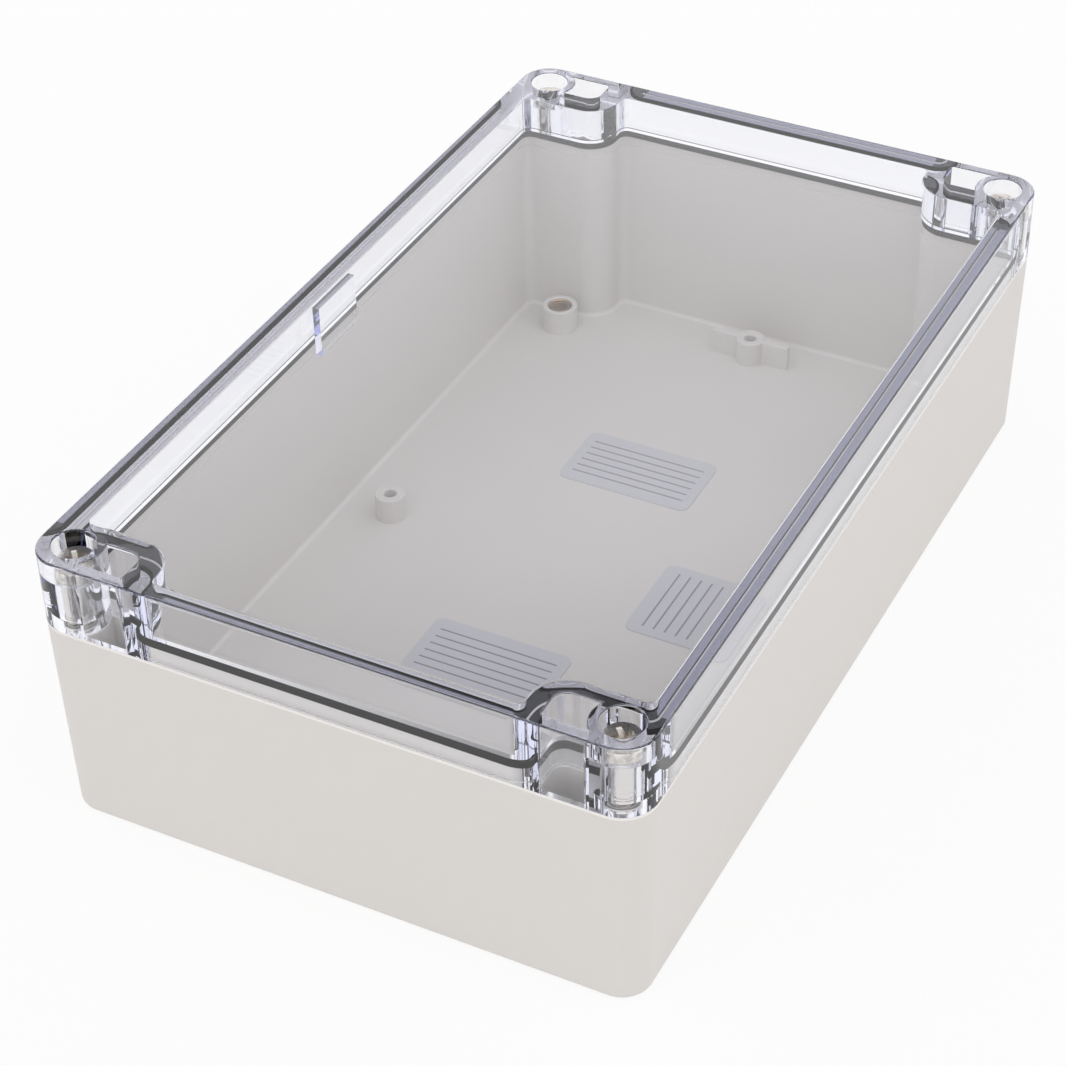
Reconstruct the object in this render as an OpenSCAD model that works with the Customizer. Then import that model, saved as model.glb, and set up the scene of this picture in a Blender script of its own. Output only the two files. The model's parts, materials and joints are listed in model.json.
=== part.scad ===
// Sealed plastic enclosure with a clear lid, a gasket and captive lid screws.
// Millimetres. X runs across the short side, Y along the long side, Z up.
// The origin is the centre of the bottom face.

/* [Enclosure] */
// Width across the short side
box_w = 120; // [110:1:200]
// Length along the long side
box_l = 198; // [190:1:320]
// Height with the lid on
box_h = 60; // [45:1:120]
// Height of the lid down to the parting line
lid_h = 15.4; // [13:0.1:24]
// Radius of the four upright corners, centred on the lid screws
corner_r = 6.7; // [6.2:0.1:9]

/* [Base] */
// Wall of the base at the parting line
wall = 3.8; // [3.6:0.1:5]
// Thickness of the floor
floor_t = 3.5; // [2.5:0.1:6]
// Inset of the outer walls at the bottom, the mould draft
draft = 0.8; // [0.3:0.1:1.4]
// Rounding of the bottom edge
foot_r = 1.2; // [0.6:0.1:2]
// Rounding of the outer rim at the parting line
rim_r = 0.5; // [0.2:0.1:1]
// Height of the sealing tongue above the parting line
tongue_h = 3; // [2:0.1:4]
// Set-back of the tongue from the inner face of the wall
tongue_step = 0.3; // [0.1:0.1:0.6]
// Height of that step above the parting line
tongue_step_h = 0.8; // [0.3:0.1:1.5]

/* [Lid] */
// Wall of the lid
lid_wall = 4.2; // [4.1:0.1:6]
// Thickness of the top plate
plate_t = 2.5; // [2:0.1:4]
// Thickness of the outer lip that laps over the tongue
lip_t = 1.6; // [1.2:0.1:2]
// Length of the locating tab on each long wall
tab_l = 14; // [6:1:40]
// Thickness of the locating tab
tab_t = 1.5; // [0.8:0.1:3]
// Height of the locating tab's lower end above the parting line
tab_rise = 0.8; // [0.5:0.1:4]
// Gap between the locating tab and the top plate
tab_gap = 1; // [0.5:0.1:3]
// Rounding of the lid's top edge
lid_edge_r = 0.5; // [0.3:0.1:1.5]
// Width of the recess round each screw at the lid's foot
foot_recess_w = 1; // [0.4:0.1:1.6]
// Depth of that recess
foot_recess_h = 1.6; // [0.8:0.1:2.5]

/* [Seal] */
// Height of the gasket between tongue and lid
gasket_h = 1.7; // [1:0.1:2.5]
// Play between the gasket and the lip beside it
gasket_play = 0.1; // [0.05:0.05:0.3]
// Play between the tongue and the lip that laps over it
lap_play = 0.3; // [0.2:0.05:0.6]
// Radius of the outward bends of the sealed outline
seal_r = 6; // [5.4:0.1:8]

/* [Corner pockets] */
// Far side of the pocket, measured from the long face
pocket_w = 19.5; // [19:0.1:24]
// Inner side of the pocket, measured from the short face
pocket_l = 9.5; // [9.3:0.1:14]
// Thickness of the bar that closes the pocket at the short face
bar_t = 2.5; // [1.8:0.1:3]
// Radius of the inward bend of the sealed outline at the pocket
pocket_r = 2.5; // [1:0.1:3]
// Thickness of the pocket's floor under the mounting screw
pocket_floor_t = 4; // [3:0.1:8]
// Diameter of the mounting hole in the pocket's floor
mount_hole_d = 4.5; // [3:0.1:5]

/* [Lid screws] */
// Radius of the column round each lid screw
column_r = 5.8; // [5.2:0.1:6.1]
// Diameter of the screw's thread
screw_d = 4; // [3:0.1:4.2]
// Length of the screw under its head
screw_l = 20; // [18:0.5:24]
// Diameter of the screw's head
head_d = 7; // [6:0.1:7.2]
// Height of the screw's head
head_h = 2.6; // [2:0.1:3.2]
// Depth of the head's top below the lid
head_depth = 3; // [1:0.1:4]
// Play round the head in its counterbore
head_play = 0.5; // [0.3:0.05:0.8]
// Play round the thread in the lid
shank_play = 0.4; // [0.3:0.05:0.6]
// Play round the thread in its insert
thread_play = 0.2; // [0.15:0.05:0.3]
// Width of a slot of the cross recess
recess_w = 1; // [0.6:0.1:1.4]
// Length of a slot of the cross recess
recess_l = 4; // [3:0.1:4.6]
// Depth of the cross recess
recess_depth = 1.5; // [1:0.1:1.8]
// Room left below the screw's tip
tip_room = 2; // [1:0.5:5]

/* [Lid inserts] */
// Outer diameter of the brass insert of a lid screw
lid_insert_d = 6; // [5.4:0.1:7]
// Length of the brass insert of a lid screw
lid_insert_l = 8; // [5:0.5:9]
// Play round a brass insert in its hole
insert_play = 0.05; // [0.02:0.01:0.1]

/* [Board bosses] */
// Height of all board bosses above the floor
boss_h = 5.8; // [4:0.1:12]
// Diameter of a boss with a brass insert
insert_boss_d = 8; // [7:0.1:10]
// Distance of the insert bosses from the long faces
insert_boss_x = 15; // [12:0.5:40]
// Distance of the insert bosses from the short faces
insert_boss_y = 19.5; // [19:0.5:60]
// Outer diameter of the brass insert of a board boss
board_insert_d = 5.4; // [4.8:0.1:6]
// Length of the brass insert of a board boss
board_insert_l = 4.6; // [3:0.1:5]
// Thread of the board inserts
board_screw_d = 4; // [3:0.1:4.2]
// Diameter of a plain boss
plain_boss_d = 6.5; // [5.5:0.1:9]
// Pilot hole of a plain boss
pilot_d = 2.7; // [2:0.1:3.5]
// Depth of the pilot hole
pilot_depth = 5; // [3:0.1:6]
// Distance of the end bosses from the short faces
end_boss_y = 13; // [11:0.5:15]
// Reach of the ribs of an end boss to each side
rib_reach = 9.4; // [6:0.1:20]
// Thickness of those ribs
rib_t = 1.4; // [1:0.1:2.5]

/* [Labels] */
// Thickness of the stickers on the floor
label_t = 0.2; // [0.1:0.05:0.4]
// Corner radius of the stickers
label_r = 2; // [1:0.1:4]
// Long side of a wide sticker
wide_label_w = 30.4; // [20:0.1:40]
// Short side of a wide sticker
wide_label_l = 17.8; // [10:0.1:20]
// Short side of the tall sticker
tall_label_w = 19; // [10:0.1:22]
// Long side of the tall sticker
tall_label_l = 22.6; // [10:0.1:30]
// Centre of the far sticker along Y
far_label_y = 36.4; // [30:0.1:40]
// Centre of the near sticker along Y
near_label_y = -34; // [-40:0.1:-28]
// Centre of the wide stickers along X
wide_label_x = -4.6; // [-10:0.1:5]
// Centre of the tall sticker along X
side_label_x = 24.4; // [22:0.1:30]
// Centre of the tall sticker along Y
side_label_y = -1; // [-4:0.1:4]

/* [Hidden] */
$fn = 96;
// Overlap that joins solids, and overrun of a cut past its face
eps = 0.01;
over = 1;
// Smallest bend left in the sealed outline
least_bend = 0.5;

half_w = box_w / 2;
half_l = box_l / 2;
base_h = box_h - lid_h;
tongue_top = base_h + tongue_h;
gasket_top = tongue_top + gasket_h;
plate_z = box_h - plate_t;
tab_bottom = base_h + tab_rise;
tab_top = plate_z - tab_gap;

// Corners are numbered counter-clockwise from +X +Y
corner_signs = [[1, 1], [-1, 1], [-1, -1], [1, -1]];
screw_x = half_w - corner_r;
screw_y = half_l - corner_r;
pocket_x = half_w - pocket_w;
pocket_y = half_l - pocket_l;
bar_y = half_l - bar_t;
mount_x = (pocket_x + screw_x - column_r) / 2;
mount_y = (pocket_y + bar_y) / 2;

head_top = box_h - head_depth;
head_seat = head_top - head_h;
screw_tip = head_seat - screw_l;
counterbore_d = head_d + 2 * head_play;
shank_hole_d = screw_d + 2 * shank_play;

boss_top = floor_t + boss_h;
inset_x = half_w - insert_boss_x;
inset_y = half_l - insert_boss_y;
end_y = half_l - end_boss_y;
// Where a rib starts, inside the boss's wall and clear of its pilot hole
rib_root = (plain_boss_d + pilot_d) / 4;

shell_grey = [0.84, 0.83, 0.81];
clear_blue = [0.80, 0.82, 0.92, 0.35];
seal_black = [0.22, 0.22, 0.23];
steel = [0.78, 0.78, 0.76];
brass = [0.78, 0.62, 0.32];
label_white = [0.84, 0.83, 0.90];

// Flat rectangle with round corners, centred on the origin
module round_rect(w, l, r) {
    square([w - 2 * r, l], center = true);
    square([w, l - 2 * r], center = true);
    for (sx = [-1, 1], sy = [-1, 1])
        translate([sx * (w / 2 - r), sy * (l / 2 - r)]) circle(r);
}

// Mirrored copies of a flat child in the four corners, drawn in +X +Y
module each_corner() {
    for (s = corner_signs)
        mirror([s[0] < 0 ? 1 : 0, 0]) mirror([0, s[1] < 0 ? 1 : 0]) children();
}

// The flat filling of a square corner at the origin, out to a round of radius r
module corner_fillet(r) {
    difference() {
        translate([-eps, -eps]) square(r + eps);
        translate([r, r]) circle(r);
    }
}

// The outline of the sealed space, moved in by inset from the outer faces
// and from the corner pockets, with concentric bends
module sealed_outline(inset) {
    bend = max(seal_r - inset, least_bend);
    round_rect(2 * (pocket_x - inset), box_l - 2 * inset, bend);
    round_rect(box_w - 2 * inset, 2 * (pocket_y - inset), bend);
    each_corner() translate([pocket_x - inset, pocket_y - inset]) corner_fillet(pocket_r + inset);
}

// The open shaft beside each lid screw, seen from above
module pocket_outline() {
    each_corner() difference() {
        translate([pocket_x, pocket_y]) square([screw_x - pocket_x, bar_y - pocket_y]);
        translate([pocket_x, pocket_y]) corner_fillet(pocket_r);
        translate([screw_x, screw_y]) circle(column_r);
    }
}

// Half of the base's upright section, $reach wide at the parting line,
// with the mould draft, a rounded foot and a rounded rim
module base_section() {
    foot = $reach - draft;
    square([foot - foot_r, foot_r]);
    translate([foot - foot_r, foot_r]) circle(foot_r);
    polygon([[0, foot_r], [foot, foot_r], [$reach, base_h - rim_r], [$reach - rim_r, base_h], [0, base_h]]);
    translate([$reach - rim_r, base_h - rim_r]) intersection() {
        circle(rim_r);
        square(rim_r);
    }
}

// Half of the lid's upright section, $reach wide, with a rounded top edge
module lid_section() {
    translate([0, base_h]) square([$reach, lid_h - lid_edge_r]);
    translate([0, base_h]) square([$reach - lid_edge_r, lid_h]);
    translate([$reach - lid_edge_r, box_h - lid_edge_r]) circle(lid_edge_r);
}

// The half section that is the child, carried round the outline of the box:
// straight along the four sides and turned about each corner's axis
module plan_sweep() {
    for (a = [0, 180]) {
        rotate([90, 0, a]) linear_extrude(2 * screw_y, center = true)
            let ($reach = half_w) children();
        rotate([90, 0, a + 90]) linear_extrude(2 * screw_x, center = true)
            let ($reach = half_l) children();
    }
    for (s = corner_signs)
        translate([s[0] * screw_x, s[1] * screw_y, 0]) rotate_extrude()
            let ($reach = corner_r) children();
}

// A drilled board boss standing on the floor
module board_boss(d, hole_d, hole_depth) {
    difference() {
        translate([0, 0, floor_t - eps]) cylinder(d = d, h = boss_h + eps);
        translate([0, 0, boss_top - hole_depth]) cylinder(d = hole_d, h = hole_depth + over);
    }
}

// An end boss with a rib to each side
module end_boss() {
    board_boss(plain_boss_d, pilot_d, pilot_depth);
    for (sx = [-1, 1])
        translate([sx * (rib_reach + rib_root) / 2, 0, floor_t + boss_h / 2 - eps / 2])
            cube([rib_reach - rib_root, rib_t, boss_h + eps], center = true);
}

module base() {
    color(shell_grey) {
        difference() {
            plan_sweep() base_section();
            translate([0, 0, floor_t]) linear_extrude(base_h) sealed_outline(wall);
            translate([0, 0, pocket_floor_t]) linear_extrude(base_h) pocket_outline();
            for (s = corner_signs) {
                translate([s[0] * mount_x, s[1] * mount_y, -over])
                    cylinder(d = mount_hole_d, h = pocket_floor_t + 2 * over);
                translate([s[0] * screw_x, s[1] * screw_y, base_h - lid_insert_l])
                    cylinder(d = lid_insert_d + 2 * insert_play, h = lid_insert_l + over);
                translate([s[0] * screw_x, s[1] * screw_y, screw_tip - tip_room])
                    cylinder(d = shank_hole_d, h = base_h - screw_tip);
            }
        }
        translate([0, 0, base_h - eps]) linear_extrude(tongue_h + eps) difference() {
            sealed_outline(lip_t + lap_play);
            sealed_outline(wall - tongue_step);
        }
        translate([0, 0, base_h - eps]) linear_extrude(tongue_step_h + eps) difference() {
            sealed_outline(wall - tongue_step - eps);
            sealed_outline(wall);
        }
        for (s = corner_signs)
            translate([s[0] * inset_x, s[1] * inset_y, 0])
                board_boss(insert_boss_d, board_insert_d + 2 * insert_play, board_insert_l);
        for (sx = [-1, 1])
            translate([sx * inset_x, 0, 0]) board_boss(plain_boss_d, pilot_d, pilot_depth);
        for (sy = [-1, 1])
            translate([0, sy * end_y, 0]) end_boss();
    }
}

module lid() {
    color(clear_blue) {
        difference() {
            plan_sweep() lid_section();
            translate([0, 0, base_h - over]) linear_extrude(lid_h + 2 * over) pocket_outline();
            translate([0, 0, base_h - over]) linear_extrude(plate_z - base_h + over)
                sealed_outline(lid_wall);
            translate([0, 0, base_h - over]) linear_extrude(gasket_top - base_h + over)
                sealed_outline(lip_t);
            for (s = corner_signs) translate([s[0] * screw_x, s[1] * screw_y, 0]) {
                translate([0, 0, base_h - over]) cylinder(d = shank_hole_d, h = lid_h + 2 * over);
                translate([0, 0, base_h - over])
                    cylinder(d = shank_hole_d + 2 * foot_recess_w, h = foot_recess_h + over);
                translate([0, 0, head_seat]) cylinder(d = counterbore_d, h = box_h - head_seat + over);
            }
        }
        for (sx = [-1, 1])
            translate([sx * (half_w - lid_wall - tab_t / 2), 0, (tab_bottom + tab_top) / 2])
                cube([tab_t, tab_l, tab_top - tab_bottom], center = true);
    }
}

module gasket() {
    color(seal_black)
        translate([0, 0, tongue_top]) linear_extrude(gasket_h) difference() {
            sealed_outline(lip_t + gasket_play);
            sealed_outline(wall - gasket_play);
        }
}

// A captive cheese-head screw with a cross recess, in the corner s
module lid_screw(s) {
    color(steel) translate([s[0] * screw_x, s[1] * screw_y, 0]) {
        translate([0, 0, screw_tip]) cylinder(d = screw_d, h = screw_l + eps);
        difference() {
            translate([0, 0, head_seat]) cylinder(d = head_d, h = head_h);
            for (a = [45, 135])
                translate([0, 0, head_top]) rotate([0, 0, a])
                    cube([recess_l, recess_w, 2 * recess_depth], center = true);
        }
    }
}

// The brass insert that a lid screw bites into
module lid_insert(s) {
    color(brass) translate([s[0] * screw_x, s[1] * screw_y, base_h - lid_insert_l]) difference() {
        cylinder(d = lid_insert_d, h = lid_insert_l);
        translate([0, 0, -over]) cylinder(d = screw_d + 2 * thread_play, h = lid_insert_l + 2 * over);
    }
}

// The brass insert of a board boss
module board_insert(s) {
    color(brass) translate([s[0] * inset_x, s[1] * inset_y, boss_top - board_insert_l]) difference() {
        cylinder(d = board_insert_d, h = board_insert_l);
        translate([0, 0, -over]) cylinder(d = board_screw_d, h = board_insert_l + 2 * over);
    }
}

// A bare sticker on the floor
module floor_label(x, y, w, l) {
    color(label_white) translate([x, y, floor_t]) linear_extrude(label_t) round_rect(w, l, label_r);
}

base();
lid();
gasket();
for (i = [0 : 3]) {
    lid_screw(corner_signs[i]);
    lid_insert(corner_signs[i]);
    board_insert(corner_signs[i]);
}
floor_label(wide_label_x, far_label_y, wide_label_w, wide_label_l);  // far_label
floor_label(wide_label_x, near_label_y, wide_label_w, wide_label_l);  // near_label
floor_label(side_label_x, side_label_y, tall_label_w, tall_label_l);  // side_label
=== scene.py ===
import json
import math

import bmesh
import bpy
from bpy.props import FloatProperty, FloatVectorProperty, IntProperty, PointerProperty
from mathutils import Matrix, Vector


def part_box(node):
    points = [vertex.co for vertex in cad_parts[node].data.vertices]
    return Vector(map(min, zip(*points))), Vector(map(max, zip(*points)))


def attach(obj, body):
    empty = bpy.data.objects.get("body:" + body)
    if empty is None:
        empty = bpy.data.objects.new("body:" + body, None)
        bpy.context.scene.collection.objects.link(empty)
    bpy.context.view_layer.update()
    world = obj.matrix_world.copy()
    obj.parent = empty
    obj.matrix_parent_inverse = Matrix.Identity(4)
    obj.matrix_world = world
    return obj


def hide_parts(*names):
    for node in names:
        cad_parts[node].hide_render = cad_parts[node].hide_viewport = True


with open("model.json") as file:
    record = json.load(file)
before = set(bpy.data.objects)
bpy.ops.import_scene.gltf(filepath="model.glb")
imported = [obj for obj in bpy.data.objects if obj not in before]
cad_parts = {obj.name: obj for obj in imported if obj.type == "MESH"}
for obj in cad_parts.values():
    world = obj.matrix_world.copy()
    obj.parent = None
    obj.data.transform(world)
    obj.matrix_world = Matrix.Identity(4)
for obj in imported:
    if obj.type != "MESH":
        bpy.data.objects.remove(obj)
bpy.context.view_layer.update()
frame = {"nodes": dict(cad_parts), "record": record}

bl_info = {
    "name": "Sealed Enclosure",
    "version": (1, 0, 0),
    "blender": (4, 5, 0),
    "location": "View3D > Sidebar > Enclosure",
    "description": "Dresses a sealed plastic enclosure with a clear screw-down lid",
    "category": "Add Mesh",
}

# Places read from the frame, in metres
LID_LOW, LID_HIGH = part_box("lid")
SEAL_LOW, SEAL_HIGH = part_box("gasket")
SCREW_LOW, SCREW_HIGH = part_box("lid_screw_1")
LID_INSERT_LOW, LID_INSERT_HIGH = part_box("lid_insert_1")
BOARD_INSERT_LOW, BOARD_INSERT_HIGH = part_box("board_insert_1")
STICKERS = ("far_label", "near_label", "side_label")

HALF_W, HALF_L, TOP = LID_HIGH
PARTING = LID_LOW.z
TONGUE_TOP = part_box("base")[1].z
SEAL_TOP = SEAL_HIGH.z
SCREW_X, SCREW_Y = ((SCREW_LOW + SCREW_HIGH) / 2).xy
HEAD_TOP = SCREW_HIGH.z
BOSS_TOP = BOARD_INSERT_HIGH.z
BOSS_X, BOSS_Y = ((BOARD_INSERT_LOW + BOARD_INSERT_HIGH) / 2).xy
MM_IN_M = 1000
MOUNTS = {mount["name"]: mount["dims"] for mount in frame["record"]["mounts"]}
END_BOSS_Y = MOUNTS["end_bosses"]["spacing_y_mm"] / MM_IN_M / 2
CORNERS = ((1, 1), (-1, 1), (-1, -1), (1, -1))

# Steps of a quarter turn on wide, on small and on tiny bends
WIDE_STEPS = 14
SMALL_STEPS = 6
FEW_STEPS = 3
# Steps of a full turn on bores and bosses of the base, on turned parts and on holes of the lid
BORE_STEPS = 24
BOSS_STEPS = 32
TURNED_STEPS = 40
LID_HOLE_STEPS = 48
# Steps of one turn of a thread, and sides of its ridge
THREAD_STEPS = 28
RIDGE_SIDES = 4
# Turns of the two arms of a screw's cross recess, in degrees
RECESS_TURNS = (45, 135)
# Air left between faces that touch, so that no two faces share a place
SLIP = 0.00003
# Points nearer than this are one point
MERGE = 0.000002
# Turn between faces past which an edge shows as an edge, and turn below which they are one flat
SHARP_EDGE = math.radians(32)
FLAT = math.radians(0.4)
WHITE = (1.0, 1.0, 1.0, 1.0)


def size(name, description, default):
    """A length that a user may change, in metres."""
    return FloatProperty(name=name, description=description, default=default, min=0.0, precision=5,
                         subtype="DISTANCE", unit="LENGTH")


def tint(name, description, default):
    """A colour that a user may change."""
    return FloatVectorProperty(name=name, description=description, default=default, min=0.0, max=1.0,
                               subtype="COLOR")


def rotation(name, description, degrees):
    """An angle that a user may change, given in degrees."""
    return FloatProperty(name=name, description=description, default=math.radians(degrees),
                         subtype="ANGLE", unit="ROTATION")


def amount(name, description, default):
    """A plain number that a user may change."""
    return FloatProperty(name=name, description=description, default=default)


class OutlineSettings(bpy.types.PropertyGroup):
    """Bends and pockets that the tub, the lid and the gasket share"""
    corner_radius: size("Corner radius", "Radius of the upright corners", HALF_W - SCREW_X)
    seal_bend: size("Seal bend", "Outward bends of the sealed outline", 0.006)
    pocket_width: size("Pocket width", "Far side of a pocket from the long face", 0.0195)
    pocket_length: size("Pocket length", "Inner side of a pocket from the short face", 0.0095)
    pocket_bend: size("Pocket bend", "Inward bend of the sealed outline at a pocket", 0.0025)
    bar: size("Bar", "Bar that closes a pocket at the short face", 0.0025)
    column_radius: size("Column radius", "Column round each lid screw", 0.0058)
    pocket_corner: size("Pocket corner", "Rounding of a pocket's corner at the bar", 0.0006)


class TubSettings(bpy.types.PropertyGroup):
    """Sizes and colours of the grey base"""
    wall: size("Wall", "Wall at the parting line", 0.0038)
    floor: size("Floor", "Thickness of the floor", 0.0035)
    draft: size("Draft", "Inset of the walls at the bottom", 0.0008)
    foot_radius: size("Foot radius", "Rounding of the bottom edge", 0.0012)
    floor_fillet: size("Floor fillet", "Fillet between walls and floor", 0.0008)
    rim: size("Rim", "Rounding of the outer rim at the parting line", 0.0005)
    edge: size("Edge", "Rounding of the small edges", 0.00025)
    tongue_inset: size("Tongue inset", "Outer side of the sealing tongue from the faces", 0.0019)
    tongue_step: size("Tongue step", "Set-back of the tongue's inner side", 0.0003)
    tongue_step_height: size("Step height", "Height of that step over the parting line", 0.0008)
    pocket_floor: size("Pocket floor", "Floor under a mounting screw", 0.004)
    pilot_depth: size("Pilot depth", "Depth of a plain boss's pilot hole", 0.005)
    insert_boss: size("Insert boss", "Diameter of a boss with a brass insert", 0.008)
    plain_boss: size("Plain boss", "Diameter of a plain boss", 0.0065)
    rib_reach: size("Rib reach", "Reach of an end boss's ribs to each side", 0.0094)
    rib: size("Rib", "Thickness of those ribs", 0.0014)
    relief: size("Relief", "Room under a lid screw's tip", 0.002)
    relief_play: size("Relief play", "Play round the screw below its insert", 0.0004)
    insert_play: size("Insert play", "Play round a brass insert", 0.00005)
    colour: tint("Colour", "Grey of the moulding", (0.695, 0.664, 0.640))
    shade: tint("Shade", "Grey of its flow marks", (0.672, 0.645, 0.622))
    # Colour of the highlight painted on the outer rim and the crease round the floor
    rubbed: tint("Rubbed", "Grey of its rubbed edges", (0.82, 0.788, 0.762))


class LidSettings(bpy.types.PropertyGroup):
    """Sizes and tint of the clear lid"""
    wall: size("Wall", "Wall round the hollow", 0.0042)
    plate: size("Plate", "Thickness of the top plate", 0.0025)
    lip: size("Lip", "Outer lip that laps over the tongue", 0.0016)
    fillet: size("Fillet", "Fillet between wall and plate", 0.0004)
    edge: size("Edge", "Rounding of the top edge", 0.0005)
    small_edge: size("Small edge", "Rounding of pockets and counterbores", 0.0003)
    foot_edge: size("Foot edge", "Rounding of the lip's lower edges", 0.00015)
    tab_length: size("Tab length", "Length of the locating tab", 0.014)
    tab: size("Tab", "Thickness of the locating tab", 0.0015)
    tab_rise: size("Tab rise", "Lower end of the tab over the parting line", 0.0008)
    tab_gap: size("Tab gap", "Gap between the tab and the plate", 0.001)
    head_play: size("Head play", "Play round a screw head", 0.0005)
    shank_play: size("Shank play", "Play round a screw's thread", 0.0004)
    foot_recess: size("Foot recess", "Width of the recess round a screw at the lid's foot", 0.0010)
    foot_depth: size("Foot depth", "Depth of that recess", 0.0016)
    tint: tint("Tint", "Colour of light after a long way in the plastic", (0.30, 0.36, 0.82))
    density: amount("Density", "How fast the plastic takes on its tint", 13.0)


class SealSettings(bpy.types.PropertyGroup):
    """Section and colour of the gasket"""
    width: size("Width", "Width of the squeezed section inside its play at the lip", 0.0022)
    rounding: size("Rounding", "Rounding of the section's corners", 0.00012)
    film: size("Film", "Width of the adhesive film on the inner part of its top", 0.0017)
    lean: size("Lean", "How much lower the inner edge of its top lies than the outer one", 0.00016)
    squeeze: size("Squeeze", "How far the outer edge of its top is pressed against the lid's roof", 0.00004)
    film_height: size("Film height", "Thickness of the film", 0.00010)
    film_run: size("Film run", "Shortest straight run that carries film", 0.012)
    film_colour: tint("Film colour", "Violet grey of the adhesive film", (0.32, 0.31, 0.37))
    colour: tint("Colour", "Grey of the rubber", (0.008, 0.0075, 0.008))


class ScrewSettings(bpy.types.PropertyGroup):
    """Sizes and colour of the captive lid screws"""
    thread: size("Thread", "Diameter over the thread", 0.004)
    root: size("Root", "Diameter under the thread", 0.0034)
    pitch: size("Pitch", "Rise of one turn of the thread", 0.0007)
    thread_length: size("Thread length", "Length of the thread from the tip", 0.012)
    head_height: size("Head height", "Height of the head", 0.0026)
    head_edge: size("Head edge", "Rounding of the head's top edge", 0.0004)
    recess_length: size("Recess length", "Length of a slot of the cross recess", 0.004)
    recess_width: size("Recess width", "Width of a slot of the cross recess", 0.001)
    recess_depth: size("Recess depth", "Depth of the cross recess", 0.0015)
    colour: tint("Colour", "Bright nickel", (0.79, 0.76, 0.715))
    # Colour of the dark reflection spots painted on the heads
    tarnish: tint("Tarnish", "Warm dull spots on the heads", (0.26, 0.205, 0.145))


class InsertSettings(bpy.types.PropertyGroup):
    """Sizes and colour of the brass inserts"""
    knurls: IntProperty(name="Knurls", description="Ridges round an insert", default=28, min=6)
    knurl_depth: size("Knurl depth", "Depth of a ridge", 0.00015)
    chamfer: size("Chamfer", "Chamfer at the mouth of the thread", 0.0003)
    lid_bore: size("Lid bore", "Bore of a lid screw's insert", 0.0044)
    thread: size("Thread", "Rise of one turn of the inner thread", 0.0007)
    thread_depth: size("Thread depth", "Height of the inner thread's ridge", 0.0002)
    colour: tint("Colour", "Turned brass of the board inserts", (0.60, 0.40, 0.24))
    plating: tint("Plating", "Pale plating of the lid inserts", (0.64, 0.62, 0.59))


class StickerSettings(bpy.types.PropertyGroup):
    """Film and ruling of the stickers on the floor"""
    colour: tint("Colour", "Pale film", (0.58, 0.572, 0.615))
    ink: tint("Ink", "Grey of the ruled lines", (0.15, 0.15, 0.18))
    rules: IntProperty(name="Rules", description="Ruled lines on a sticker", default=6, min=1)
    margin: size("Margin", "Bare edge round the lines", 0.0022)
    line: size("Line", "Width of a ruled line", 0.0004)


class StageSettings(bpy.types.PropertyGroup):
    """Floor, light and camera"""
    floor_span: size("Floor span", "Side of the floor", 6.0)
    lens: amount("Lens", "Focal length in millimetres", 90.33)
    sensor: amount("Sensor", "Width of the camera's frame in millimetres", 36.0)
    distance: size("Distance", "From the camera to the point it looks at", 0.4792)
    azimuth: rotation("Azimuth", "Turn of the camera from the short side", 25.71)
    elevation: rotation("Elevation", "Height of the camera over the horizon", 38.82)
    target: FloatVectorProperty(name="Target", description="Point that the camera looks at",
                                default=(0.0297, -0.0455, 0.050), subtype="TRANSLATION", unit="LENGTH")
    shift: FloatVectorProperty(name="Shift", description="Place of the picture off the lens axis",
                               size=2, default=(-0.0785, 0.0311))
    surround: amount("Surround", "Strength of the even light", 1.10)
    far_light: amount("Far light", "Strength of the light from the far side", 0.15)
    far_side: FloatVectorProperty(name="Far side", description="Direction of the dim far side of the room",
                                  default=(-0.204, 0.423, 0.883), subtype="DIRECTION")
    far_heart: rotation("Far heart", "Half width of the far side's dim middle", 18)
    far_edge: rotation("Far edge", "Half width at which the light is even again", 25)
    wash: amount("Wash", "Share of plain white in the floor's look", 0.85)


class EnclosureSettings(bpy.types.PropertyGroup):
    """All settings of the enclosure"""
    outline: PointerProperty(type=OutlineSettings)
    tub: PointerProperty(type=TubSettings)
    lid: PointerProperty(type=LidSettings)
    seal: PointerProperty(type=SealSettings)
    screw: PointerProperty(type=ScrewSettings)
    insert: PointerProperty(type=InsertSettings)
    sticker: PointerProperty(type=StickerSettings)
    stage: PointerProperty(type=StageSettings)


# Flat outlines

def arc(centre, radius, start, end, steps):
    """Points on an arc between two angles in degrees, both ends included."""
    points = []
    for step in range(steps + 1):
        angle = math.radians(start + (end - start) * step / steps)
        points.append((centre[0] + radius * math.cos(angle), centre[1] + radius * math.sin(angle)))
    return points


def circle(centre, radius, steps):
    """A closed round outline."""
    return arc(centre, radius, 0, 360, steps)[:-1]


def four_quarters(quarter):
    """A closed outline from its stretch in +X +Y, which runs clockwise."""
    loop = list(quarter)
    loop += [(x, -y) for x, y in reversed(quarter)]
    loop += [(-x, -y) for x, y in quarter]
    loop += [(-x, y) for x, y in reversed(quarter)]
    return loop


def box_outline(settings, inset):
    """The outline of the box, moved in from its faces."""
    radius = settings.outline.corner_radius
    return four_quarters(arc((HALF_W - radius, HALF_L - radius), radius - inset, 90, 0, WIDE_STEPS))


def sealed_outline(settings, inset):
    """The outline of the sealed space, with a point each side of the tab on the long sides."""
    shape = settings.outline
    pocket = (HALF_W - shape.pocket_width, HALF_L - shape.pocket_length)
    bend = shape.seal_bend
    hollow = shape.pocket_bend
    quarter = arc((pocket[0] - bend, HALF_L - bend), bend - inset, 90, 0, WIDE_STEPS)
    quarter += arc((pocket[0] + hollow, pocket[1] + hollow), hollow + inset, 180, 270, WIDE_STEPS)
    quarter += arc((HALF_W - bend, pocket[1] - bend), bend - inset, 90, 0, WIDE_STEPS)
    quarter.append((HALF_W - inset, settings.lid.tab_length / 2))
    return four_quarters(quarter)


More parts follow.
